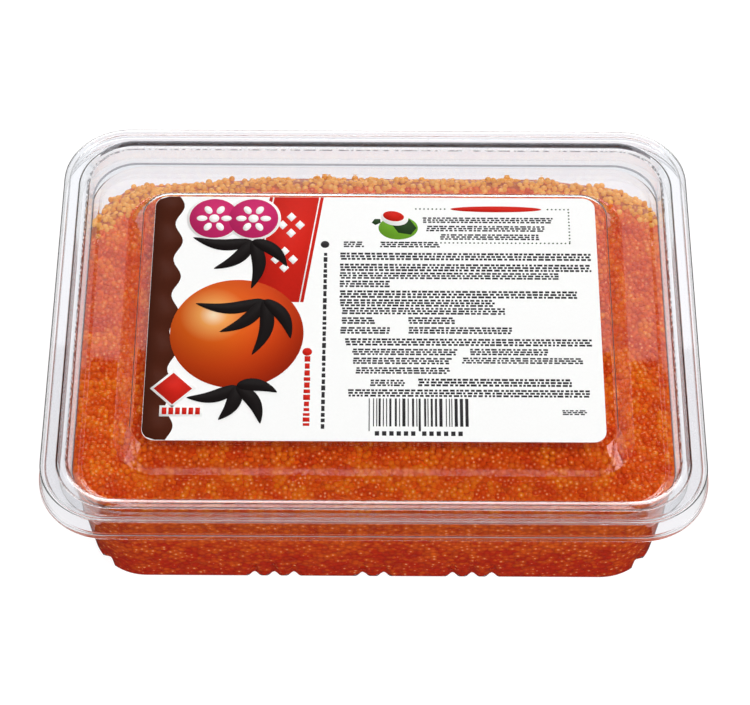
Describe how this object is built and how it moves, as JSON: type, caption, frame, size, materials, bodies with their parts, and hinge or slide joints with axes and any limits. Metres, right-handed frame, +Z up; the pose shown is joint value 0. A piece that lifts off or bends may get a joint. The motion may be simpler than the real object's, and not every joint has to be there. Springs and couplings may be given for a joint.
{
  "type": "clear pack of orange fish roe",
  "caption": "Shut rectangular clear plastic tray with a stacking lid, filled with small orange fish roe, with a white printed paper label on the raised middle of the lid.",
  "frame": {"origin": "centre of the tray's flat bottom", "axes": "+X along the long side, to the right seen from the front; +Y to the back, where the roe stops short of the wall; +Z up"},
  "size_m": [0.1614, 0.1216, 0.042],
  "materials": {
    "clear_tray": "thin clear vacuum-formed sheet",
    "clear_lid": "thin clear vacuum-formed sheet",
    "fish_roe": "wet glossy eggs, orange",
    "label_paper": "white coated paper with flat printed fields"
  },
  "bodies": {
    "root": {"tray": "clear_tray", "roe": "fish_roe", "lid": "clear_lid", "label": "label_paper"}
  },
  "joints": []
}
